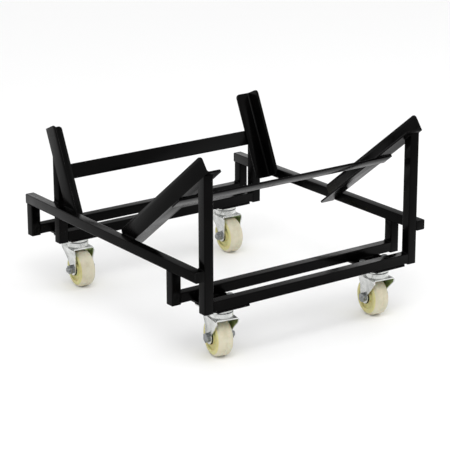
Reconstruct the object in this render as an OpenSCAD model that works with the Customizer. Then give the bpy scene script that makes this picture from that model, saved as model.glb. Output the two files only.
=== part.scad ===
// Furniture dolly for a stack of chairs: a welded square tube base with a sloped
// front rest, a leaning back rest and four swivel casters.
// X is the width, Y runs from the front to the back, Z is up.
// The origin is at the middle of the whole dolly, on the floor.

/* [Frame] */
// Clear width between the two side rails
inner_w = 500; // [440:1:640]
// Length of a side rail, with its end caps
rail_len = 604; // [560:1:760]
// Outside size of the square tube
tube = 20; // [20:1:25]
// Wall of the square tube
tube_wall = 1.5; // [1:0.1:2]
// Outside corner radius of the square tube
tube_round = 2; // [1.6:0.1:3]
// Height of the side rails' underside above the legs' steel ends
leg_drop = 63; // [50:1:90]
// Distance between the two cross tubes of a pair
pair_pitch = 75; // [70:1:90]
// Thickness of the plastic end caps
cap_t = 2; // [1.5:0.1:3]

/* [Rests] */
// Leg width of the angle iron
angle_w = 35; // [30:1:50]
// Thickness of the angle iron
angle_t = 4; // [3:0.5:5]
// Corner radius at the free ends of the angle iron
angle_round = 8; // [4:1:12]
// Slope of the front rest, from the level
slope_deg = 37.8; // [34:0.1:42]
// Height of the front rest's underside above the front faces of the posts
slope_z = 369; // [340:1:390]
// Lean of the back rest, from upright
lean_deg = 24.4; // [18:0.1:28]
// Width of the flat crossbars
bar_w = 30; // [25:1:40]
// Thickness of the flat crossbars
bar_t = 4; // [3:0.5:6]

/* [Casters] */
// Wheel diameter
wheel_d = 75; // [65:1:80]
// Wheel width
wheel_w = 32; // [28:1:34]
// Height of a caster from the floor to the top of its plate
caster_h = 105; // [104:1:120]
// Distance from the swivel axis back to the axle
trail = 14; // [12:0.1:20]
// Distance from the side rail to the swivel axis
swivel_in = 64; // [58:1:90]
// Thickness of the plates welded under the cross tubes
mount_t = 4; // [3:0.5:5]
// Turn of the front left caster at rest
turn_front_left = -10; // [-30:0.1:30]
// Turn of the front right caster at rest
turn_front_right = -7; // [-30:0.1:30]
// Turn of the rear left caster at rest
turn_rear_left = -4.5; // [-30:0.1:30]
// Turn of the rear right caster at rest
turn_rear_right = -5; // [-30:0.1:30]

/* [Hidden] */
$fn = 48;
eps = 0.01;

paint = [0.05, 0.05, 0.055];
zinc = [0.74, 0.76, 0.78];
nylon = [0.86, 0.85, 0.74];
plastic = [0.08, 0.08, 0.08];
side_left = -1;
side_right = 1;

// heights
tube_z = caster_h + mount_t;
rail_z = tube_z + leg_drop;
// the front rest's low corner stands this far in front of the rails
front_over = 8;
// front and rear faces of the rails, with the whole length centred on Y
rail_y = -(rail_len - front_over) / 2;
// front faces of the tube rows, counted from rail_y
rear_leg_y = rail_len - cap_t - tube - 1;
rear_post_y = rear_leg_y - pair_pitch;
// outer face of a side rail and the middle of each piece beside it
half_w = inner_w / 2;

// sloped front rest: slope line z = slope_z - y * tan(slope_deg), counted from rail_y
rest_end_y = 257;
rest_len = (rest_end_y + front_over) / cos(slope_deg);
front_bar_y = 91.5;
// back rest: front surface of the back flange is at lean_y, at the height lean_z
lean_y = 509.3;
lean_z = 260;
lean_top_z = 338.5;
lean_low_z = 171;
rear_bar_z = 254;

// casters
plate_x = 77;
plate_y = 67;
plate_t = 2.5;
hole_x = 56;
hole_y = 24;
bolt_r = 4;
bolt_hole_r = 4.3;
mount_plate_x = 72;
swivel_shift = -8.5;
front_swivel_y = (pair_pitch + tube) / 2 + swivel_shift;
rear_swivel_y = rear_post_y + (pair_pitch + tube) / 2 + swivel_shift;
race_r = 18;
ball_r = 2.5;
ball_count = 18;
race_clear = 0.05;
race_out_r = 22;
race_in_r = 13.5;
crown_z = 81;
ball_z = 93;
kingpin_r = 4;
fork_t = 2.5;
crown_half_x = 24;
crown_half_y = 26;
leg_gap = wheel_w / 2 + 2;
leg_waist_z = 60;
axle_r = 5;
axle_hole_r = 5.05;
sleeve_r = 7;
running = 0.05;
leg_end_r = 12.5;
washer_r = 13.5;
washer_t = 1.5;
hub_r = 14;
wheel_edge = 9;
web_half = 12;
hex_r = 9.8;
hex_t = 6.4;
nut_t = 8;
thread_out = 4;

// ---------- sections and small shapes ----------

// a square with true round corners, its lower left corner at the origin
module round_square(w, h, r) {
  translate([r, 0]) square([w - 2 * r, h]);
  translate([0, r]) square([w, h - 2 * r]);
  for (x = [r, w - r]) {
    for (y = [r, h - r]) {
      translate([x, y]) circle(r);
    }
  }
}

module tube_section() {
  difference() {
    round_square(tube, tube, tube_round);
    translate([tube_wall, tube_wall])
      round_square(tube - 2 * tube_wall, tube - 2 * tube_wall, tube_round - tube_wall + 0.4);
  }
}

// square tube standing up from the origin
module tube_up(len) {
  linear_extrude(height = len) tube_section();
}

// square tube along +X, its near lower edge on the X axis
module tube_along_x(len) {
  rotate([90, 0, 90]) tube_up(len);
}

// square tube along +Y, its left lower edge on the Y axis
module tube_along_y(len) {
  translate([0, len, 0]) rotate([90, 0, 0]) tube_up(len);
}

// angle iron section: heel at the origin, legs along +X and +Y
module angle_section() {
  toe = angle_t / 2;
  for (turn = [0, 1]) {
    mirror([turn, -turn]) {
      square([angle_w - toe, angle_t]);
      square([angle_w, toe]);
      translate([angle_w - toe, toe]) circle(toe);
    }
  }
  difference() {
    translate([angle_t, angle_t]) square(angle_t);
    translate([2 * angle_t, 2 * angle_t]) circle(angle_t);
  }
}

// what is cut from the corner of a plate to round it, at the origin, in X and Y
module corner_cut(r, depth) {
  translate([0, 0, -eps]) linear_extrude(height = depth + 2 * eps)
    difference() {
      translate([-r, -r]) square(r + 1);
      translate([-r, -r]) circle(r);
    }
}

// length of angle iron along +Z with its free end corners rounded
module angle_iron(len) {
  difference() {
    linear_extrude(height = len) angle_section();
    for (top = [0, 1]) {
      translate([0, 0, top * len]) mirror([0, 0, 1 - top]) {
        // leg along +X, plate normal to Y
        translate([angle_w, angle_t + eps, 0]) rotate([90, 0, 0]) corner_cut(angle_round, angle_t);
        // leg along +Y, plate normal to X
        translate([-eps, angle_w, 0]) rotate([90, 0, 90]) corner_cut(angle_round, angle_t);
      }
    }
  }
}

// puts a piece made for the left side on the side asked for
module on_side(side) {
  if (side == side_left) children();
  if (side == side_right) mirror([1, 0, 0]) children();
}

// moves a piece from the rail's own Y, counted from the front, to the dolly's frame
module from_front(y) {
  translate([0, rail_y + y, 0]) children();
}

// ---------- welded frame ----------

module rail(side) {
  color(paint) on_side(side) from_front(cap_t)
    translate([-half_w - tube, 0, rail_z]) tube_along_y(rail_len - 2 * cap_t);
}

// height of the underside of the sloped rest, y counted from the front
function slope_at(y) = slope_z - y * tan(slope_deg);

// front surface of the leaning back flange, y counted from the front
function lean_at(z) = lean_y + (z - lean_z) * tan(lean_deg);

// the half space above the underside of the front rest
module above_slope() {
  translate([-half_w - tube, 0, slope_z]) rotate([-slope_deg, 0, 0])
    translate([-1, -100, 0]) cube([3 * tube, 300, 200]);
}

// the half space in front of the back face of the back rest
module before_lean() {
  translate([-half_w - tube, lean_at(0) + angle_t / cos(lean_deg), 0]) rotate([-lean_deg, 0, 0])
    translate([-1, -300, 0]) cube([3 * tube, 300, 500]);
}

module front_post(side) {
  color(paint) on_side(side) from_front(0)
    difference() {
      translate([-half_w, 0, tube_z]) tube_up(slope_at(0) - tube_z + 10);
      above_slope();
    }
}

module rear_post(side) {
  color(paint) on_side(side) from_front(0)
    difference() {
      translate([-half_w, rear_post_y, tube_z]) tube_up(200);
      before_lean();
    }
}

module short_leg(side, y) {
  color(paint) on_side(side) from_front(y)
    translate([-half_w - tube, 0, tube_z]) tube_up(leg_drop);
}

// between the two posts, inside the rails
module post_crossmember(y) {
  color(paint) from_front(y)
    translate([-half_w + tube, 0, tube_z]) tube_along_x(inner_w - 2 * tube);
}

// between the two short legs, under the rails
module leg_crossmember(y) {
  color(paint) from_front(y)
    translate([-half_w, 0, tube_z]) tube_along_x(inner_w);
}

module front_rest_angle(side) {
  color(paint) on_side(side) from_front(-front_over)
    translate([-half_w, 0, slope_at(-front_over)]) rotate([-slope_deg, 0, 0])
      rotate([-90, 0, 0]) mirror([0, 1, 0]) angle_iron(rest_len);
}

module back_rest_angle(side) {
  rise = (lean_top_z - lean_low_z) / cos(lean_deg);
  color(paint) on_side(side) from_front(lean_at(lean_low_z))
    translate([-half_w, 0, lean_low_z]) rotate([-lean_deg, 0, 0])
      translate([0, angle_t, 0]) mirror([0, 1, 0]) angle_iron(rise);
}

module front_crossbar() {
  color(paint) from_front(front_bar_y)
    translate([-half_w, 0, slope_at(front_bar_y)]) rotate([-slope_deg, 0, 0])
      translate([0, -bar_w / 2, -bar_t]) cube([inner_w, bar_w, bar_t]);
}

module rear_crossbar() {
  color(paint) from_front(lean_at(rear_bar_z))
    translate([-half_w + tube, 0, rear_bar_z]) rotate([-lean_deg, 0, 0])
      translate([0, angle_t, -bar_w / 2]) cube([inner_w - 2 * tube, bar_t, bar_w]);
}

// ---------- plates and end caps ----------

// moves a caster piece to its swivel axis
module at_caster(side, y) {
  translate([side * (half_w - swivel_in), rail_y + y, 0]) children();
}

module plate_holes(r) {
  for (x = [-1, 1]) {
    for (y = [-1, 1]) {
      translate([x * hole_x / 2, y * hole_y / 2, caster_h - 20]) cylinder(r = r, h = 60);
    }
  }
}

module mount_plate(side, y) {
  color(paint) at_caster(side, y)
    difference() {
      translate([-mount_plate_x / 2, -(pair_pitch + tube) / 2 - swivel_shift, caster_h])
        cube([mount_plate_x, pair_pitch + tube, mount_t]);
      plate_holes(bolt_hole_r);
    }
}

// a cap on the end of a tube, with a plug inside the tube above it
module end_cap() {
  plug = tube - 2 * tube_wall - 0.6;
  linear_extrude(height = cap_t) round_square(tube, tube, tube_round);
  translate([(tube - plug) / 2, (tube - plug) / 2, cap_t])
    linear_extrude(height = 8) round_square(plug, plug, 1);
}

module rail_end_caps() {
  color(plastic) for (side = [side_left, side_right]) {
    on_side(side) {
      from_front(0) translate([-half_w - tube, 0, rail_z + tube]) rotate([-90, 0, 0]) end_cap();
      from_front(rail_len) translate([-half_w - tube, 0, rail_z]) rotate([90, 0, 0]) end_cap();
    }
  }
}

module leg_end_caps() {
  color(plastic) for (side = [side_left, side_right]) {
    on_side(side) {
      for (y = [0, rear_post_y]) {
        from_front(y) translate([-half_w, 0, tube_z - cap_t]) end_cap();
      }
      for (y = [pair_pitch, rear_leg_y]) {
        from_front(y) translate([-half_w - tube, 0, tube_z - cap_t]) end_cap();
      }
    }
  }
}

module hexagon(r, h) {
  cylinder(r = r, h = h, $fn = 6);
}

module at_plate_holes() {
  for (side = [side_left, side_right]) {
    for (y = [front_swivel_y, rear_swivel_y]) {
      at_caster(side, y) {
        for (dx = [-1, 1]) {
          for (dy = [-1, 1]) {
            translate([dx * hole_x / 2, dy * hole_y / 2, 0]) children();
          }
        }
      }
    }
  }
}

// hex bolts with their heads under the casters' plates
module plate_bolts() {
  color(zinc) at_plate_holes() {
    translate([0, 0, caster_h - plate_t - 5]) hexagon(7, 5);
    translate([0, 0, caster_h - plate_t - 1]) cylinder(r = bolt_r, h = plate_t + mount_t + 11);
  }
}

// nuts with washers, on top of the welded plates
module plate_nuts() {
  color(zinc) at_plate_holes()
    difference() {
      union() {
        translate([0, 0, tube_z]) cylinder(r = 6.8, h = 1.2);
        translate([0, 0, tube_z + 1.2]) hexagon(6.8, 6);
      }
      translate([0, 0, tube_z - 1]) cylinder(r = bolt_r + eps, h = 12);
    }
}

// ---------- casters: swivel axis on Z, axle behind it towards -Y ----------

module ball_track() {
  rotate_extrude() translate([race_r, ball_z]) circle(ball_r + race_clear);
}

module race_ring(h) {
  difference() {
    cylinder(r = race_out_r, h = h);
    translate([0, 0, -1]) cylinder(r = race_in_r, h = h + 2);
  }
}

module top_plate(side, y) {
  color(zinc) at_caster(side, y)
    difference() {
      union() {
        translate([-plate_x / 2, -plate_y / 2, caster_h - plate_t])
          linear_extrude(height = plate_t) round_square(plate_x, plate_y, 5);
        translate([0, 0, ball_z + 1]) race_ring(caster_h - plate_t - ball_z - 1 + eps);
      }
      plate_holes(bolt_hole_r);
      ball_track();
      translate([0, 0, ball_z]) cylinder(r = kingpin_r + eps, h = 20);
    }
}

// riveted kingpins, one for each caster
module kingpins() {
  color(zinc) for (side = [side_left, side_right]) {
    for (y = [front_swivel_y, rear_swivel_y]) {
      at_caster(side, y) {
        translate([0, 0, crown_z - 1.5]) cylinder(r = kingpin_r, h = caster_h - crown_z + 1.5 - 0.3);
        translate([0, 0, crown_z - 4.5]) cylinder(r1 = 6.5, r2 = 9, h = 2);
        translate([0, 0, crown_z - 2.5]) cylinder(r = 9, h = 2.2);
      }
    }
  }
}

module swivel_balls() {
  color(zinc) for (side = [side_left, side_right]) {
    for (y = [front_swivel_y, rear_swivel_y]) {
      at_caster(side, y) {
        for (i = [0 : ball_count - 1]) {
          rotate([0, 0, i * 360 / ball_count]) translate([race_r, 0, ball_z]) sphere(ball_r);
        }
      }
    }
  }
}

// front casters trail to the back and rear casters trail to the front
function caster_turn(side, y) =
  y == front_swivel_y
    ? 180 + (side == side_left ? turn_front_left : turn_front_right)
    : (side == side_left ? turn_rear_left : turn_rear_right);

module turned(side, y) {
  at_caster(side, y) rotate([0, 0, caster_turn(side, y)]) children();
}

// moves a piece made along +Z to the axle, along +X
module on_axle() {
  translate([0, -trail, wheel_d / 2]) rotate([0, 90, 0]) children();
}

// the fork seen from the front: a crown with two legs that close in on the wheel
module fork_front_view() {
  waist_z = leg_waist_z;
  low_z = wheel_d / 2 - leg_end_r - 1;
  crown_top = crown_z + fork_t;
  leg_out = leg_gap + fork_t;
  crown_in = crown_half_x - fork_t;
  half = [
    [0, crown_top], [crown_half_x - 3, crown_top], [crown_half_x, crown_top - 3],
    [leg_out, waist_z], [leg_out, low_z], [leg_gap, low_z], [leg_gap, waist_z],
    [crown_in, crown_z - 1], [crown_in - 1, crown_z], [0, crown_z]
  ];
  polygon(half);
  mirror([1, 0]) polygon(half);
}

// the fork seen from the side, X standing for the dolly's Y
module fork_side_view() {
  crown_top = crown_z + fork_t;
  axle_z = wheel_d / 2;
  polygon([
    [crown_half_y, crown_top], [crown_half_y, crown_z - 6],
    [-trail + leg_end_r * 0.87, axle_z + leg_end_r * 0.5],
    [-trail - leg_end_r, axle_z],
    [-crown_half_y - 4, crown_z - 4], [-crown_half_y, crown_top]
  ]);
  translate([-trail, axle_z]) circle(leg_end_r);
}

module fork(side, y) {
  color(zinc) turned(side, y)
    difference() {
      union() {
        intersection() {
          translate([0, 40, 0]) rotate([90, 0, 0]) linear_extrude(height = 80) fork_front_view();
          translate([-40, 0, 0]) rotate([90, 0, 90]) linear_extrude(height = 80) fork_side_view();
        }
        translate([0, 0, crown_z + fork_t - eps]) race_ring(ball_z - 1 - crown_z - fork_t + eps);
      }
      ball_track();
      translate([0, 0, crown_z - 1]) cylinder(r = kingpin_r + running, h = fork_t + 2);
      on_axle() translate([0, 0, -40]) cylinder(r = axle_hole_r, h = 80);
    }
}

// hex bolt with its head on +X
module axle_bolt(side, y) {
  leg_out = leg_gap + fork_t;
  color(zinc) turned(side, y) on_axle() {
    translate([0, 0, leg_out]) hexagon(hex_r, hex_t);
    translate([0, 0, -leg_out - nut_t - thread_out]) cylinder(r = axle_r, h = 2 * leg_out + nut_t + thread_out + 1);
  }
}

module axle_nut(side, y) {
  color(zinc) turned(side, y) on_axle()
    translate([0, 0, -leg_gap - fork_t - nut_t])
      difference() {
        hexagon(hex_r, nut_t);
        translate([0, 0, -1]) cylinder(r = axle_r + eps, h = nut_t + 2);
      }
}

// spacer tube that the bolt clamps between the legs, and the wheel turns on
module axle_sleeve(side, y) {
  color(zinc) turned(side, y) on_axle()
    translate([0, 0, -leg_gap])
      difference() {
        cylinder(r = sleeve_r, h = 2 * leg_gap);
        translate([0, 0, -1]) cylinder(r = axle_r + eps, h = 2 * leg_gap + 2);
      }
}

module hub_washers(side, y) {
  color(plastic) turned(side, y) on_axle() {
    for (s = [-1, 1]) {
      translate([0, 0, s * (leg_gap - washer_t / 2) - washer_t / 2])
        difference() {
          cylinder(r = washer_r, h = washer_t);
          translate([0, 0, -1]) cylinder(r = sleeve_r + eps, h = washer_t + 2);
        }
    }
  }
}

// half section of the wheel, X standing for the radius and Y for the width
module wheel_section() {
  r = wheel_d / 2;
  h = wheel_w / 2;
  bore = sleeve_r + running;
  translate([bore, -h]) square([hub_r - bore, wheel_w]);
  translate([hub_r - 1, -web_half]) square([r - hub_r - 8, 2 * web_half]);
  translate([r - 13, -h]) square([13 - wheel_edge, wheel_w]);
  translate([r - 13, -h + wheel_edge]) square([13, wheel_w - 2 * wheel_edge]);
  for (s = [-1, 1]) {
    translate([r - wheel_edge, s * (h - wheel_edge)]) circle(wheel_edge);
  }
}

module wheel(side, y) {
  color(nylon) turned(side, y) on_axle() rotate_extrude($fn = 96)
    intersection() {
      wheel_section();
      translate([0, -wheel_w]) square([wheel_d, 2 * wheel_w]);
    }
}

// ---------- nodes ----------

rail(side_left);  // rail_left
rail(side_right);  // rail_right
front_post(side_left);  // front_post_left
front_post(side_right);  // front_post_right
rear_post(side_left);  // rear_post_left
rear_post(side_right);  // rear_post_right
short_leg(side_left, pair_pitch);  // front_leg_left
short_leg(side_right, pair_pitch);  // front_leg_right
short_leg(side_left, rear_leg_y);  // rear_leg_left
short_leg(side_right, rear_leg_y);  // rear_leg_right
post_crossmember(0);  // front_outer_crossmember
leg_crossmember(pair_pitch);  // front_inner_crossmember
post_crossmember(rear_post_y);  // rear_inner_crossmember
leg_crossmember(rear_leg_y);  // rear_outer_crossmember
front_rest_angle(side_left);  // front_rest_angle_left
front_rest_angle(side_right);  // front_rest_angle_right
back_rest_angle(side_left);  // back_rest_angle_left
back_rest_angle(side_right);  // back_rest_angle_right
front_crossbar();
rear_crossbar();
mount_plate(side_left, front_swivel_y);  // front_left_mount_plate
mount_plate(side_right, front_swivel_y);  // front_right_mount_plate
mount_plate(side_left, rear_swivel_y);  // rear_left_mount_plate
mount_plate(side_right, rear_swivel_y);  // rear_right_mount_plate
rail_end_caps();
leg_end_caps();
plate_bolts();
plate_nuts();
kingpins();
swivel_balls();

top_plate(side_left, front_swivel_y);  // front_left_top_plate
fork(side_left, front_swivel_y);  // front_left_fork
axle_bolt(side_left, front_swivel_y);  // front_left_axle_bolt
axle_nut(side_left, front_swivel_y);  // front_left_axle_nut
axle_sleeve(side_left, front_swivel_y);  // front_left_axle_sleeve
hub_washers(side_left, front_swivel_y);  // front_left_hub_washers
wheel(side_left, front_swivel_y);  // front_left_wheel

top_plate(side_right, front_swivel_y);  // front_right_top_plate
fork(side_right, front_swivel_y);  // front_right_fork
axle_bolt(side_right, front_swivel_y);  // front_right_axle_bolt
axle_nut(side_right, front_swivel_y);  // front_right_axle_nut
axle_sleeve(side_right, front_swivel_y);  // front_right_axle_sleeve
hub_washers(side_right, front_swivel_y);  // front_right_hub_washers
wheel(side_right, front_swivel_y);  // front_right_wheel

top_plate(side_left, rear_swivel_y);  // rear_left_top_plate
fork(side_left, rear_swivel_y);  // rear_left_fork
axle_bolt(side_left, rear_swivel_y);  // rear_left_axle_bolt
axle_nut(side_left, rear_swivel_y);  // rear_left_axle_nut
axle_sleeve(side_left, rear_swivel_y);  // rear_left_axle_sleeve
hub_washers(side_left, rear_swivel_y);  // rear_left_hub_washers
wheel(side_left, rear_swivel_y);  // rear_left_wheel

top_plate(side_right, rear_swivel_y);  // rear_right_top_plate
fork(side_right, rear_swivel_y);  // rear_right_fork
axle_bolt(side_right, rear_swivel_y);  // rear_right_axle_bolt
axle_nut(side_right, rear_swivel_y);  // rear_right_axle_nut
axle_sleeve(side_right, rear_swivel_y);  // rear_right_axle_sleeve
hub_washers(side_right, rear_swivel_y);  // rear_right_hub_washers
wheel(side_right, rear_swivel_y);  // rear_right_wheel
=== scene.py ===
import math
import bpy
import bmesh
from mathutils import Matrix, Vector


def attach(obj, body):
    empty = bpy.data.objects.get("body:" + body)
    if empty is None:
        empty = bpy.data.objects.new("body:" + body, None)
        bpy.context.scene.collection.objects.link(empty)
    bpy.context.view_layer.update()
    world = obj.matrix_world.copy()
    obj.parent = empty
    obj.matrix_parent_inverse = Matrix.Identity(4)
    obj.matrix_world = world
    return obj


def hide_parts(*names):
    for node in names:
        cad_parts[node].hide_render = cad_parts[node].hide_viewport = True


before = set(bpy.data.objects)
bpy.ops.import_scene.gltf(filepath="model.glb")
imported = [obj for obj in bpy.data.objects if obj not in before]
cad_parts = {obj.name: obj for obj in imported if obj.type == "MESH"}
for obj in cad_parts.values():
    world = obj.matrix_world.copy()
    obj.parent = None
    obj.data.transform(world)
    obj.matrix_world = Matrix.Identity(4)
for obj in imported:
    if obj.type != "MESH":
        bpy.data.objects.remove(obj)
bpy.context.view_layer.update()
print("frame loaded")

mm = 0.001  # metres in a millimetre


def hexLinear(text):
    # sRGB hex to the linear colour a shader wants
    parts = [int(text[i:i + 2], 16) / 255 for i in (1, 3, 5)]
    lin = [c / 12.92 if c <= 0.04045 else ((c + 0.055) / 1.055) ** 2.4 for c in parts]
    return (*lin, 1.0)


def addNode(tree, kind, place=(0, 0), **values):
    # a value whose name is an input's goes to that input, any other is a setting of the node
    node = tree.nodes.new(kind)
    node.location = place
    for key, value in values.items():
        socket = key.replace("_", " ")
        if socket in node.inputs:
            node.inputs[socket].default_value = value
        else:
            setattr(node, key, value)
    return node


def newMaterial(name):
    mat = bpy.data.materials.new(name)
    mat.use_nodes = True
    tree = mat.node_tree
    tree.nodes.clear()
    out = addNode(tree, "ShaderNodeOutputMaterial", (900, 0))
    shader = addNode(tree, "ShaderNodeBsdfPrincipled", (600, 0))
    tree.links.new(shader.outputs["BSDF"], out.inputs["Surface"])
    return mat, tree, shader


def noiseAt(tree, coords, grainMm, detail, rough, place):
    # Object coordinates are metres, so a grain of n mm is a scale of 1000 / n
    node = addNode(tree, "ShaderNodeTexNoise", place, Scale=1000 / grainMm, Detail=detail, Roughness=rough)
    tree.links.new(coords, node.inputs["Vector"])
    return node.outputs["Fac"]


def ramp(tree, fac, low, high):
    # colour ramp between two (position, colour) stops
    node = addNode(tree, "ShaderNodeValToRGB", (-300, 0))
    for stop, (at, colour) in zip(node.color_ramp.elements, (low, high)):
        stop.position = at
        stop.color = colour
    tree.links.new(fac, node.inputs["Fac"])
    return node.outputs["Color"]


noiseSpan = (0.3, 0.7)  # nearly all of a noise lies between these


def rangeOf(tree, fac, low, high):
    node = addNode(tree, "ShaderNodeMapRange", (-300, -300))
    node.inputs["From Min"].default_value = noiseSpan[0]
    node.inputs["From Max"].default_value = noiseSpan[1]
    node.inputs["To Min"].default_value = low
    node.inputs["To Max"].default_value = high
    tree.links.new(fac, node.inputs["Value"])
    return node.outputs["Result"]


def bumpFrom(tree, shader, fac, depthMm, strength):
    node = addNode(tree, "ShaderNodeBump", (200, -400), Strength=strength, Distance=depthMm * mm)
    tree.links.new(fac, node.inputs["Height"])
    tree.links.new(node.outputs["Normal"], shader.inputs["Normal"])


# In every look: colours at the two ramp stops, the surface's roughness at the two ends of noiseSpan, and for
# both noises the size in mm, the detail and the noise's own roughness. depthMm and bump set how deep the grain
# looks. inputs go to the shader as they are.

# black gloss enamel sprayed over mild steel: faint orange peel, dust in patches
paintLook = {
    "colours": ("#020202", "#070606"), "stops": (0.45, 0.8), "rough": (0.13, 0.3),
    "patches": (60, 5, 0.6), "grain": (1.6, 2, 0.5), "depthMm": 0.008, "bump": 1.0,
    "inputs": {"Specular IOR Level": 0.05},
}

# zinc plate: cloudy, with a fine grain left by the barrel
plateLook = {
    "stops": (0.3, 0.65), "depthMm": 0.01, "bump": 0.5, "inputs": {"Metallic": 0.9},
}
# bright zinc on pressed sheet
zincLook = {
    **plateLook, "colours": ("#bcbebb", "#dcdddb"), "rough": (0.3, 0.16),
    "patches": (14, 4, 0.6), "grain": (0.5, 2, 0.5),
}
# the same plate with a painted reflection of the yellow nylon wheel and painted shade between leg and wheel,
# yellow to olive green
reflectedWheelLook = {
    **plateLook, "colours": ("#7d8a58", "#a9bd84"), "rough": (0.45, 0.3),
    "patches": (10, 4, 0.6), "grain": (0.5, 2, 0.5),
}
# duller plate on bolts, nuts, sleeves, balls and pins
boltLook = {
    **plateLook, "colours": ("#626466", "#9c9f9f"), "rough": (0.4, 0.22),
    "patches": (4, 4, 0.6), "grain": (0.3, 2, 0.5),
}

# moulded natural nylon, slightly see-through
nylonLook = {
    "stops": (0.32, 0.55), "rough": (0.55, 0.36), "patches": (22, 6, 0.65), "grain": (0.8, 3, 0.6),
    "depthMm": 0.03, "bump": 0.5, "inputs": {"Subsurface Weight": 0.15, "Subsurface Scale": 2.0 * mm},
}
treadLook = {**nylonLook, "colours": ("#bbb49a", "#c9c3ac")}  # scuffed and greyed by the floor
sideLook = {**nylonLook, "colours": ("#b6ae70", "#cbc588")}  # yellower, as it was moulded

# moulded black polyethylene with a light grain
plasticLook = {
    "colours": ("#030303", "#080808"), "stops": (0.4, 0.75), "rough": (0.42, 0.6),
    "patches": (9, 4, 0.6), "grain": (0.6, 2, 0.5), "depthMm": 0.03, "bump": 0.6,
    "inputs": {"Specular IOR Level": 0.06},
}


def makeSurface(name, look):
    # broad patches set the colour and the roughness, a fine grain sets the bump
    mat, tree, shader = newMaterial(name)
    coords = addNode(tree, "ShaderNodeTexCoord", (-900, 0)).outputs["Object"]
    patches = noiseAt(tree, coords, *look["patches"], place=(-600, 0))
    low, high = zip(look["stops"], map(hexLinear, look["colours"]))
    tree.links.new(ramp(tree, patches, low, high), shader.inputs["Base Color"])
    tree.links.new(rangeOf(tree, patches, *look["rough"]), shader.inputs["Roughness"])
    grain = noiseAt(tree, coords, *look["grain"], place=(-600, -500))
    bumpFrom(tree, shader, grain, look["depthMm"], look["bump"])
    for socket, value in look["inputs"].items():
        shader.inputs[socket].default_value = value
    return mat


paint = makeSurface("glossBlackEnamel", paintLook)
zinc = makeSurface("brightZincPlate", zincLook)
# painted reflection of the yellow wheel and painted shade, put on the fork faces that look at the wheel
reflectedWheelZinc = makeSurface("paintedWheelReflectionZinc", reflectedWheelLook)
boltZinc = makeSurface("zincHardware", boltLook)
treadNylon = makeSurface("nylonTread", treadLook)
sideNylon = makeSurface("nylonSide", sideLook)
blackPlastic = makeSurface("mouldedBlackPlastic", plasticLook)
print("materials made")


def plainObject(name, mesh):
    obj = bpy.data.objects.new(name, mesh)
    bpy.context.scene.collection.objects.link(obj)
    return obj


def bakeModifiers(obj):
    # turns the evaluated object into a plain mesh and drops its modifiers
    bpy.context.view_layer.update()
    graph = bpy.context.evaluated_depsgraph_get()
    mesh = bpy.data.meshes.new_from_object(obj.evaluated_get(graph), depsgraph=graph)
    obj.modifiers.clear()
    obj.data = mesh


# corners nearer than merge, in mm, and faces within flatDeg become one; edges over sharpDeg are rounded
softening = {"merge": 0.004, "flatDeg": 0.5, "sharpDeg": 35, "segments": 2}


def softCopy(node, mat, body, slotName, edgeMm):
    # a merged copy of a CAD solid whose sharp edges get a small radius
    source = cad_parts[node]
    mesh = bpy.data.meshes.new(node + "Soft")
    bm = bmesh.new()
    bm.from_mesh(source.data)
    bmesh.ops.remove_doubles(bm, verts=bm.verts, dist=softening["merge"] * mm)
    flat = math.radians(softening["flatDeg"])
    bmesh.ops.dissolve_limit(bm, angle_limit=flat, verts=bm.verts, edges=bm.edges)
    bm.to_mesh(mesh)
    bm.free()
    mesh.materials.append(mat)
    for poly in mesh.polygons:
        poly.use_smooth = True
        poly.material_index = 0
    obj = plainObject(node + "_piece", mesh)
    bevel = obj.modifiers.new("softEdges", "BEVEL")
    bevel.width = edgeMm * mm
    bevel.segments = softening["segments"]
    bevel.limit_method = "ANGLE"
    bevel.angle_limit = math.radians(softening["sharpDeg"])
    bevel.harden_normals = True
    bakeModifiers(obj)
    return keepPiece(obj, body, slotName, node)


def keepPiece(obj, body, slotName, *nodes):
    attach(obj, body)
    if nodes:
        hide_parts(*nodes)
    return obj


casters = ("front_left", "front_right", "rear_left", "rear_right")
# radius of the softened edges, in mm
edgeSizes = {
    "bar": 0.4, "angle": 0.5, "plate": 0.4, "tubeEnd": 0.25, "cap": 0.4,
    "sheet": 0.35, "hex": 0.25, "sleeve": 0.1, "rivet": 0.2,
}

paintedPieces = {
    "rail_left": "tubeEnd", "rail_right": "tubeEnd",
    "front_post_left": "tubeEnd", "front_post_right": "tubeEnd",
    "rear_post_left": "tubeEnd", "rear_post_right": "tubeEnd",
    "front_leg_left": "tubeEnd", "front_leg_right": "tubeEnd",
    "rear_leg_left": "tubeEnd", "rear_leg_right": "tubeEnd",
    "front_outer_crossmember": "tubeEnd", "front_inner_crossmember": "tubeEnd",
    "rear_inner_crossmember": "tubeEnd", "rear_outer_crossmember": "tubeEnd",
    "front_rest_angle_left": "angle", "front_rest_angle_right": "angle",
    "back_rest_angle_left": "angle", "back_rest_angle_right": "angle",
    "front_crossbar": "bar", "rear_crossbar": "bar",
}
for name in casters:
    paintedPieces[name + "_mount_plate"] = "plate"

for name, kind in paintedPieces.items():
    softCopy(name, paint, "frame", "frame_paint", edgeSizes[kind])
for name in ("rail_end_caps", "leg_end_caps"):
    softCopy(name, blackPlastic, "frame", "end_cap_plastic", edgeSizes["cap"])
for name in casters:
    softCopy(name + "_top_plate", zinc, "frame", "caster_zinc", edgeSizes["sheet"])
print("welded frame finished")


def arc(centre, radius, start, end, steps):
    # points on an arc in (radius, height), angles in degrees
    points = []
    for i in range(steps + 1):
        angle = math.radians(start + (end - start) * i / steps)
        points.append((centre[0] + radius * math.cos(angle), centre[1] + radius * math.sin(angle)))
    return points


axisLimit = 1e-6  # a point nearer the axis than this, in mm, is on it


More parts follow.
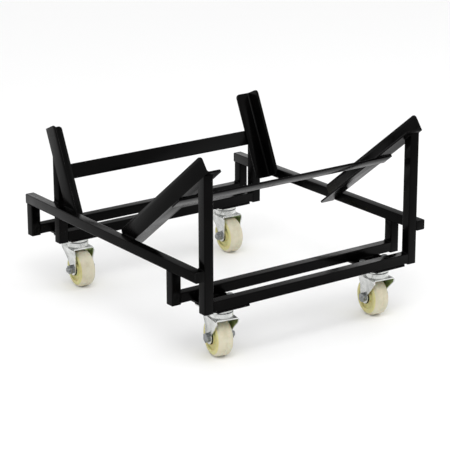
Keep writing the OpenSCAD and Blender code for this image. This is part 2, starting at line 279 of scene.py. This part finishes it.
def turnedMesh(bm, profile, segments, place, closed=False):
    # spins (radius, height) points in mm about Z, then moves them by a matrix in metres
    rings = []
    for radius, height in profile:
        if radius < axisLimit:
            rings.append([bm.verts.new(place @ Vector((0, 0, height * mm)))])
            continue
        ring = []
        for i in range(segments):
            angle = 2 * math.pi * i / segments
            spot = Vector((radius * mm * math.cos(angle), radius * mm * math.sin(angle), height * mm))
            ring.append(bm.verts.new(place @ spot))
        rings.append(ring)
    pairs = list(zip(rings, rings[1:]))
    if closed:
        pairs.append((rings[-1], rings[0]))
    for low, high in pairs:
        for i in range(segments):
            j = (i + 1) % segments
            corners = [low[i % len(low)], low[j % len(low)], high[j % len(high)], high[i % len(high)]]
            corners = list(dict.fromkeys(corners))
            if len(corners) > 2:
                bm.faces.new(corners)


sharpEdges = {"wheel": 50, "fastener": 30}  # angle in degrees from which an edge is shaded sharp


def meshFrom(bm, name, kind, *mats):
    bmesh.ops.recalc_face_normals(bm, faces=bm.faces)
    mesh = bpy.data.meshes.new(name)
    bm.to_mesh(mesh)
    bm.free()
    for mat in mats:
        mesh.materials.append(mat)
    for poly in mesh.polygons:
        poly.use_smooth = True
    mesh.set_sharp_from_angle(angle=math.radians(sharpEdges[kind]))
    return mesh


# swivel axis (x, y) in mm and turn in degrees of each caster, and its axle, as the CAD has them
casterPlan = {
    "front_left": (-186, -259, 170), "front_right": (186, -259, 173),
    "rear_left": (-186, 247, -4.5), "rear_right": (186, 247, -5),
}
axlePlan = {"trail": 14, "height": 37.5}


def casterFrame(name):
    x, y, turn = casterPlan[name]
    return Matrix.Translation((x * mm, y * mm, 0)) @ Matrix.Rotation(math.radians(turn), 4, "Z")


def axleFrame(name):
    # Z of this frame runs along the axle
    shift = Matrix.Translation((0, -axlePlan["trail"] * mm, axlePlan["height"] * mm))
    return casterFrame(name) @ shift @ Matrix.Rotation(math.radians(90), 4, "Y")


# in mm, but for the segments, the steps of each arc, and treadShare, the part of the rounded edge that is
# scuffed like the tread
wheelSizes = {
    "radius": 37.5, "halfWidth": 16, "edge": 9, "bore": 7.05, "boreEdge": 0.5, "hub": 14, "hubRound": 0.8,
    "web": 12, "webFillet": 1.6, "rimInner": 24.5, "rimRound": 1.1,
    "seam": 0.12, "seamTop": 0.5, "seamFoot": 0.25, "treadShare": 0.55,
    "segments": 128, "roundSteps": 4, "filletSteps": 5, "edgeSteps": 12,
}


def wheelProfile():
    # (radius, height) outline of the wheel, from its bore round to the seam and mirrored
    w = wheelSizes
    half = w["halfWidth"]
    side = [(w["bore"], half - w["boreEdge"]), (w["bore"] + w["boreEdge"], half)]
    side += arc((w["hub"] - w["hubRound"], half - w["hubRound"]),
                w["hubRound"], 90, 0, w["roundSteps"])
    side += arc((w["hub"] + w["webFillet"], w["web"] + w["webFillet"]),
                w["webFillet"], 180, 270, w["filletSteps"])
    side += arc((w["rimInner"] - w["webFillet"], w["web"] + w["webFillet"]),
                w["webFillet"], 270, 360, w["filletSteps"])
    side += arc((w["rimInner"] + w["rimRound"], half - w["rimRound"]),
                w["rimRound"], 180, 90, w["roundSteps"])
    side += arc((w["radius"] - w["edge"], half - w["edge"]), w["edge"], 90, 0, w["edgeSteps"])
    upper = side + [(w["radius"], w["seamTop"]), (w["radius"] - w["seam"], w["seamFoot"])]
    return upper + [(r, -h) for r, h in reversed(upper)]


def makeWheel(name):
    bm = bmesh.new()
    turnedMesh(bm, wheelProfile(), wheelSizes["segments"], axleFrame(name), closed=True)
    rim = wheelSizes["radius"] - wheelSizes["edge"] * wheelSizes["treadShare"]
    toAxle = axleFrame(name).inverted()
    for face in bm.faces:
        spot = toAxle @ face.calc_center_median()
        face.material_index = 0 if math.hypot(spot.x, spot.y) > rim * mm else 1
    mesh = meshFrom(bm, name + "Wheel", "wheel", treadNylon, sideNylon)
    obj = plainObject(name + "_wheelPiece", mesh)
    keepPiece(obj, name + "_roller", "wheel_nylon", name + "_wheel")


# a fork's legs are further out than legFrom and lower than legTo, in mm; facing is how squarely a face looks in
wheelReflectionFaces = {"legFrom": 12, "legTo": 82, "facing": 0.4}


def paintWheelReflection(obj, name):
    # painted reflection and painted shade: the faces that look at the wheel mirror its yellow nylon and lie in
    # the shade between leg and wheel, so they get the olive material
    toCaster = casterFrame(name).inverted()
    obj.data.materials.append(reflectedWheelZinc)
    for poly in obj.data.polygons:
        normal = toCaster.to_3x3() @ poly.normal
        spot = toCaster @ poly.center
        onLeg = abs(spot.x) > wheelReflectionFaces["legFrom"] * mm and spot.z < wheelReflectionFaces["legTo"] * mm
        if onLeg and normal.x * spot.x < 0 and abs(normal.x) > wheelReflectionFaces["facing"]:
            poly.material_index = 1


for name in casters:
    makeWheel(name)
    swivel = name + "_swivel"
    fork = softCopy(name + "_fork", zinc, swivel, "caster_zinc", edgeSizes["sheet"])
    # paints the wheel's reflection and the shade between leg and wheel onto the inner faces of the fork legs
    paintWheelReflection(fork, name)
    for part in ("axle_bolt", "axle_nut"):
        softCopy(name + "_" + part, boltZinc, swivel, "hardware_steel", edgeSizes["hex"])
    # painted shade: black plastic washers stand in for the dark gap between each fork cheek and the wheel's hub
    # recess
    softCopy(name + "_hub_washers", blackPlastic, swivel, "washer_plastic", edgeSizes["hex"])
    softCopy(name + "_axle_sleeve", boltZinc, swivel, "hardware_steel", edgeSizes["sleeve"])
softCopy("kingpins", boltZinc, "frame", "hardware_steel", edgeSizes["rivet"])
print("casters finished")


def geoTree(name, inputs):
    tree = bpy.data.node_groups.new(name, "GeometryNodeTree")
    tree.interface.new_socket(name="Geometry", in_out="INPUT", socket_type="NodeSocketGeometry")
    for label, (kind, value) in inputs.items():
        sock = tree.interface.new_socket(name=label, in_out="INPUT", socket_type=kind)
        if value is not None:
            sock.default_value = value
    tree.interface.new_socket(name="Geometry", in_out="OUTPUT", socket_type="NodeSocketGeometry")
    start = addNode(tree, "NodeGroupInput", (-900, 0))
    end = addNode(tree, "NodeGroupOutput", (900, 0))
    return tree, start, end


def runTree(obj, tree, values):
    mod = obj.modifiers.new(tree.name, "NODES")
    mod.node_group = tree
    for item in tree.interface.items_tree:
        if item.item_type == "SOCKET" and item.in_out == "INPUT" and item.name in values:
            mod[item.identifier] = values[item.name]
    bakeModifiers(obj)
    for poly in obj.data.polygons:
        poly.use_smooth = True
    return obj


def finishTree(tree, geometry, start, end):
    real = addNode(tree, "GeometryNodeRealizeInstances", (500, 0))
    setMat = addNode(tree, "GeometryNodeSetMaterial", (700, 0))
    tree.links.new(geometry, real.inputs["Geometry"])
    tree.links.new(real.outputs["Geometry"], setMat.inputs["Geometry"])
    tree.links.new(start.outputs["Material"], setMat.inputs["Material"])
    tree.links.new(setMat.outputs["Geometry"], end.inputs["Geometry"])


def pointsObject(name, points, edges=()):
    mesh = bpy.data.meshes.new(name)
    mesh.from_pydata([tuple(p) for p in points], list(edges), [])
    return plainObject(name, mesh)


# swivel balls: a ring of balls on each swivel axis, in mm
ballSizes = {"ring": 18, "ball": 2.5, "count": 18, "height": 93, "segments": 20, "rings": 12}


def ballTree():
    tree, start, end = geoTree("ballRing", {
        "Ring Radius": ("NodeSocketFloat", ballSizes["ring"] * mm),
        "Ball Radius": ("NodeSocketFloat", ballSizes["ball"] * mm),
        "Count": ("NodeSocketInt", ballSizes["count"]), "Material": ("NodeSocketMaterial", None)})
    ring = addNode(tree, "GeometryNodeMeshCircle", (-600, 200))
    ball = addNode(tree, "GeometryNodeMeshUVSphere", (-600, -200),
                   Segments=ballSizes["segments"], Rings=ballSizes["rings"])
    perRing = addNode(tree, "GeometryNodeInstanceOnPoints", (-300, 100))
    perAxis = addNode(tree, "GeometryNodeInstanceOnPoints", (100, 0))
    link = tree.links.new
    link(start.outputs["Ring Radius"], ring.inputs["Radius"])
    link(start.outputs["Count"], ring.inputs["Vertices"])
    link(start.outputs["Ball Radius"], ball.inputs["Radius"])
    link(ring.outputs["Mesh"], perRing.inputs["Points"])
    link(ball.outputs["Mesh"], perRing.inputs["Instance"])
    link(start.outputs["Geometry"], perAxis.inputs["Points"])
    link(perRing.outputs["Instances"], perAxis.inputs["Instance"])
    finishTree(tree, perAxis.outputs["Instances"], start, end)
    return tree


axes = [Vector((x * mm, y * mm, ballSizes["height"] * mm)) for x, y, turn in casterPlan.values()]
balls = runTree(pointsObject("swivelBallsPiece", axes), ballTree(), {
    "Ring Radius": ballSizes["ring"] * mm, "Ball Radius": ballSizes["ball"] * mm,
    "Count": ballSizes["count"], "Material": boltZinc})
keepPiece(balls, "frame", "hardware_steel", "swivel_balls")

# plate bolts and nuts: one of each, set in every hole. Sizes in mm, heights from the floor, turn in radians.
fastenerSizes = {
    "holeX": 28, "holeY": 12, "headRadius": 7, "headLow": 97.5, "headHigh": 102.5,
    "thread": 4, "threadIn": 3.45, "pitch": 1.25, "runIn": 0.4, "runOut": 0.8, "tip": 0.6,
    "shankTop": 115.5, "shankSunk": 0.5, "nutRadius": 6.8, "nutHigh": 116.2,
    "washerIn": 4.2, "washerOut": 6.8, "washerFoot": 6.7, "washerBrow": 6.6, "washerRound": 0.2,
    "washerLow": 109, "washerHigh": 110.2, "turn": 0.0, "seed": 7,
}
# steps round the hexagon and the rod, the chamfer's height as a share of the hexagon's radius across its corners,
# and the end faces' radius as a share of the radius across its flats
hexShape = {"steps": 48, "rodSteps": 24, "chamfer": 0.112, "endShare": 0.97}


def chamferedHex(bm, radius, low, high):
    # hexagon whose corners are cut round at the ends, as turned from bar
    steps = hexShape["steps"]
    drop = hexShape["chamfer"] * radius
    inner = radius * math.cos(math.radians(30)) * hexShape["endShare"]
    rings = []
    for height, limit in ((low, inner), (low + drop, None), (high - drop, None), (high, inner)):
        ring = []
        for i in range(steps):
            angle = 2 * math.pi * i / steps
            flat = radius * math.cos(math.radians(30)) / math.cos((angle % (math.pi / 3)) - math.pi / 6)
            out = (min(flat, limit) if limit else flat) * mm
            ring.append(bm.verts.new((out * math.cos(angle), out * math.sin(angle), height * mm)))
        rings.append(ring)
    for a, b in zip(rings, rings[1:]):
        for i in range(steps):
            j = (i + 1) % steps
            bm.faces.new((a[i], a[j], b[j], b[i]))
    bm.faces.new(list(reversed(rings[0])))
    bm.faces.new(rings[-1])


def threadedRod(bm, low, high):
    f = fastenerSizes
    profile = [(0, low), (f["thread"], low)]
    height = low + f["runIn"]
    while height + f["pitch"] < high - f["runOut"]:
        profile += [(f["thread"], height), (f["threadIn"], height + f["pitch"] / 2)]
        height += f["pitch"]
    profile += [(f["thread"], height), (f["thread"], high - f["tip"]), (f["threadIn"], high), (0, high)]
    turnedMesh(bm, profile, hexShape["rodSteps"], Matrix.Identity(4))


def boltMesh():
    bm = bmesh.new()
    f = fastenerSizes
    chamferedHex(bm, f["headRadius"], f["headLow"], f["headHigh"])
    threadedRod(bm, f["headHigh"] - f["shankSunk"], f["shankTop"])
    return meshFrom(bm, "plateBolt", "fastener", boltZinc)


def nutMesh():
    # a nut on its washer
    bm = bmesh.new()
    f = fastenerSizes
    low, high, edge = f["washerLow"], f["washerHigh"], f["washerRound"]
    profile = [(f["washerIn"], low), (f["washerFoot"], low), (f["washerOut"], low + edge),
               (f["washerOut"], high - edge), (f["washerBrow"], high), (f["washerIn"], high)]
    turnedMesh(bm, profile, hexShape["steps"], Matrix.Identity(4), closed=True)
    chamferedHex(bm, f["nutRadius"], high, f["nutHigh"])
    return meshFrom(bm, "plateNut", "fastener", boltZinc)


def scatterTree():
    tree, start, end = geoTree("onePerHole", {
        "Fastener": ("NodeSocketObject", None), "Turn": ("NodeSocketFloat", fastenerSizes["turn"]),
        "Seed": ("NodeSocketInt", fastenerSizes["seed"]), "Material": ("NodeSocketMaterial", None)})
    info = addNode(tree, "GeometryNodeObjectInfo", (-600, -200))
    spin = addNode(tree, "FunctionNodeRandomValue", (-600, 200), data_type="FLOAT")
    turnAxis = addNode(tree, "ShaderNodeCombineXYZ", (-350, 200))
    each = addNode(tree, "GeometryNodeInstanceOnPoints", (0, 0))
    link = tree.links.new
    link(start.outputs["Fastener"], info.inputs["Object"])
    link(start.outputs["Turn"], spin.inputs[3])
    link(start.outputs["Seed"], spin.inputs["Seed"])
    link(spin.outputs[1], turnAxis.inputs["Z"])
    link(start.outputs["Geometry"], each.inputs["Points"])
    link(info.outputs["Geometry"], each.inputs["Instance"])
    link(turnAxis.outputs["Vector"], each.inputs["Rotation"])
    finishTree(tree, each.outputs["Instances"], start, end)
    return tree


holes = []
for x, y, turn in casterPlan.values():
    for dx in (-1, 1):
        for dy in (-1, 1):
            holeX = (x + dx * fastenerSizes["holeX"]) * mm
            holeY = (y + dy * fastenerSizes["holeY"]) * mm
            holes.append(Vector((holeX, holeY, 0)))
fastenerTree = scatterTree()
fasteners = (("plateBoltsPiece", "plate_bolts", boltMesh), ("plateNutsPiece", "plate_nuts", nutMesh))
for label, node, makeMesh in fasteners:
    single = plainObject(label + "Single", makeMesh())
    group = runTree(pointsObject(label, holes), fastenerTree, {
        "Fastener": single, "Turn": fastenerSizes["turn"], "Seed": fastenerSizes["seed"], "Material": boltZinc})
    group.data.set_sharp_from_angle(angle=math.radians(sharpEdges["fastener"]))
    bpy.data.objects.remove(single)
    keepPiece(group, "frame", "hardware_steel", node)
print("fasteners and balls placed")

# weld beads: overlapping ripples along each joint line, in mm; uneven is the share by which their size varies
beadSizes = {"ripple": 1.3, "radius": 1.7, "seed": 11, "uneven": 0.16, "segments": 10, "rings": 6}
# the faces that the posts meet: height of the front rest's underside at y 0 and its slope in degrees, then y of
# the back rest's rear face at z 0 and its lean in mm per mm of height
restLines = {"frontTop": 369, "frontDeg": 37.8, "backFoot": 395.8, "backLean": 0.4536}
# the shared frame's origin, from the left rail's inner face and the rails' front
origin = (250, 298)


def beadTree():
    tree, start, end = geoTree("weldRipples", {
        "Ripple": ("NodeSocketFloat", beadSizes["ripple"] * mm),
        "Radius": ("NodeSocketFloat", beadSizes["radius"] * mm),
        "Uneven": ("NodeSocketFloat", beadSizes["uneven"]),
        "Seed": ("NodeSocketInt", beadSizes["seed"]), "Material": ("NodeSocketMaterial", None)})
    path = addNode(tree, "GeometryNodeMeshToCurve", (-700, 0))
    spread = addNode(tree, "GeometryNodeResampleCurve", (-500, 0), mode="LENGTH")
    blob = addNode(tree, "GeometryNodeMeshUVSphere", (-500, -250),
                   Segments=beadSizes["segments"], Rings=beadSizes["rings"])
    least = addNode(tree, "ShaderNodeMath", (-700, 300), operation="SUBTRACT")
    most = addNode(tree, "ShaderNodeMath", (-700, 500), operation="ADD")
    least.inputs[0].default_value = 1
    most.inputs[0].default_value = 1
    size = addNode(tree, "FunctionNodeRandomValue", (-450, 350), data_type="FLOAT")
    each = addNode(tree, "GeometryNodeInstanceOnPoints", (0, 0))
    link = tree.links.new
    link(start.outputs["Geometry"], path.inputs["Mesh"])
    link(path.outputs["Curve"], spread.inputs["Curve"])
    link(start.outputs["Ripple"], spread.inputs["Length"])
    link(start.outputs["Radius"], blob.inputs["Radius"])
    link(start.outputs["Uneven"], least.inputs[1])
    link(start.outputs["Uneven"], most.inputs[1])
    link(least.outputs[0], size.inputs[2])
    link(most.outputs[0], size.inputs[3])
    link(start.outputs["Seed"], size.inputs["Seed"])
    link(spread.outputs["Curve"], each.inputs["Points"])
    link(blob.outputs["Mesh"], each.inputs["Instance"])
    link(size.outputs[1], each.inputs["Scale"])
    finishTree(tree, each.outputs["Instances"], start, end)
    return tree


def beadLines():
    # ends of each bead on the left side, x from the left rail's inner face and y from the rails' front, in mm
    r = restLines

    def slope(y):
        return r["frontTop"] - y * math.tan(math.radians(r["frontDeg"]))

    def back(z):
        return r["backFoot"] + z * r["backLean"]

    def lean(y):
        return (y - r["backFoot"]) / r["backLean"]

    lines = [
        ((0, 20, 174), (0, 20, 190)), ((0, 4, 192), (0, 18, 192)), ((0, 4, 172), (0, 18, 172)),
        ((20, 3, 129), (20, 17, 129)), ((0, 77, 129), (0, 93, 129)),
        ((-17, 75, 172), (-3, 75, 172)), ((-17, 95, 172), (-3, 95, 172)),
        ((46, 20, 109), (82, 20, 109)), ((46, 75, 109), (82, 75, 109)),
        ((3, 20, slope(20)), (18, 20, slope(20))), ((20, 2, slope(2)), (20, 18, slope(18))),
        ((0, 232, 192), (0, 262, 192)), ((0, 450, 192), (0, 480, 192)),
        ((0, 506, 174), (0, 506, 190)), ((0, 526, 174), (0, 526, 190)), ((0, 508, 192), (0, 524, 192)),
        ((20, 508, 129), (20, 524, 129)), ((0, 583, 129), (0, 599, 129)),
        ((-17, 581, 172), (-3, 581, 172)), ((-17, 601, 172), (-3, 601, 172)),
        ((46, 526, 109), (82, 526, 109)), ((46, 581, 109), (82, 581, 109)),
        ((20, 508, lean(508)), (20, 524, lean(524))), ((3, 526, lean(526)), (18, 526, lean(526))),
        ((4, 79.6, slope(79.6)), (32, 79.6, slope(79.6))),
        ((4, 103.4, slope(103.4)), (32, 103.4, slope(103.4))),
        ((21, back(266), 266), (33, back(266), 266)),
        ((21, back(238.7), 238.7), (33, back(238.7), 238.7)),
    ]
    for start, end in lines:
        for side in (1, -1):
            yield [Vector((side * (x - origin[0]) * mm, (y - origin[1]) * mm, z * mm))
                   for x, y, z in (start, end)]


beadPoints, beadEdges = [], []
for ends in beadLines():
    beadEdges.append((len(beadPoints), len(beadPoints) + 1))
    beadPoints += ends
beads = runTree(pointsObject("weldBeads", beadPoints, beadEdges), beadTree(), {
    "Ripple": beadSizes["ripple"] * mm, "Radius": beadSizes["radius"] * mm,
    "Uneven": beadSizes["uneven"], "Seed": beadSizes["seed"], "Material": paint})
keepPiece(beads, "frame", "frame_paint")
print("weld beads laid")

# matt white painted board, far wider than the view
floorLook = {"white": "#f4f4f4", "rough": 0.6, "reach": 30}
floorMat, _, floorShader = newMaterial("paleFloor")
floorShader.inputs["Base Color"].default_value = hexLinear(floorLook["white"])
floorShader.inputs["Roughness"].default_value = floorLook["rough"]
floorMesh = bpy.data.meshes.new("floor")
reach = floorLook["reach"]
floorCorners = [(-reach, -reach, 0), (reach, -reach, 0), (reach, reach, 0), (-reach, reach, 0)]
floorMesh.from_pydata(floorCorners, [], [(0, 1, 2, 3)])
floorMesh.materials.append(floorMat)
floor = plainObject("floor", floorMesh)

# soft white studio: the world's strength, the point that both area lights look at, and for each of them its
# place and size in metres and its power in watts
studio = {
    "world": 1.0, "aim": (0, 0, 0.1),
    "keyLight": ((-1.2, -1.6, 2.6), 1.6, 34), "fillLight": ((2.2, -1.2, 1.8), 1.8, 10),
}
bpy.context.scene.view_settings.view_transform = "Standard"
world = bpy.data.worlds.new("studio")
bpy.context.scene.world = world
world.use_nodes = True
world.node_tree.nodes["Background"].inputs["Color"].default_value = (1, 1, 1, 1)
world.node_tree.nodes["Background"].inputs["Strength"].default_value = studio["world"]


def softLight(name, place, size, power):
    light = bpy.data.lights.new(name, "AREA")
    light.size = size
    light.energy = power
    obj = bpy.data.objects.new(name, light)
    bpy.context.scene.collection.objects.link(obj)
    obj.location = place
    obj.rotation_euler = (Vector(studio["aim"]) - Vector(place)).to_track_quat("-Z", "Y").to_euler()


for name in ("keyLight", "fillLight"):
    softLight(name, *studio[name])

# camera place in metres, its turns in degrees, lens and sensor in mm, and how far it sees in metres
view = {
    "place": (-2.071, -2.909, 1.306), "yaw": 35.55, "pitch": 17.88, "roll": -0.18,
    "lens": 151.2, "sensor": 36, "far": 100,
}
yaw, pitch, roll = (math.radians(view[k]) for k in ("yaw", "pitch", "roll"))
ahead = Vector((math.sin(yaw) * math.cos(pitch), math.cos(yaw) * math.cos(pitch), -math.sin(pitch)))
camera = bpy.data.objects.new("camera", bpy.data.cameras.new("camera"))
bpy.context.scene.collection.objects.link(camera)
aimed = ahead.to_track_quat("-Z", "Y").to_matrix().to_4x4()
camera.matrix_world = Matrix.Translation(view["place"]) @ aimed @ Matrix.Rotation(roll, 4, "Z")
camera.data.lens = view["lens"]
camera.data.sensor_width = view["sensor"]
camera.data.clip_end = view["far"]
bpy.context.scene.camera = camera
print("studio ready")
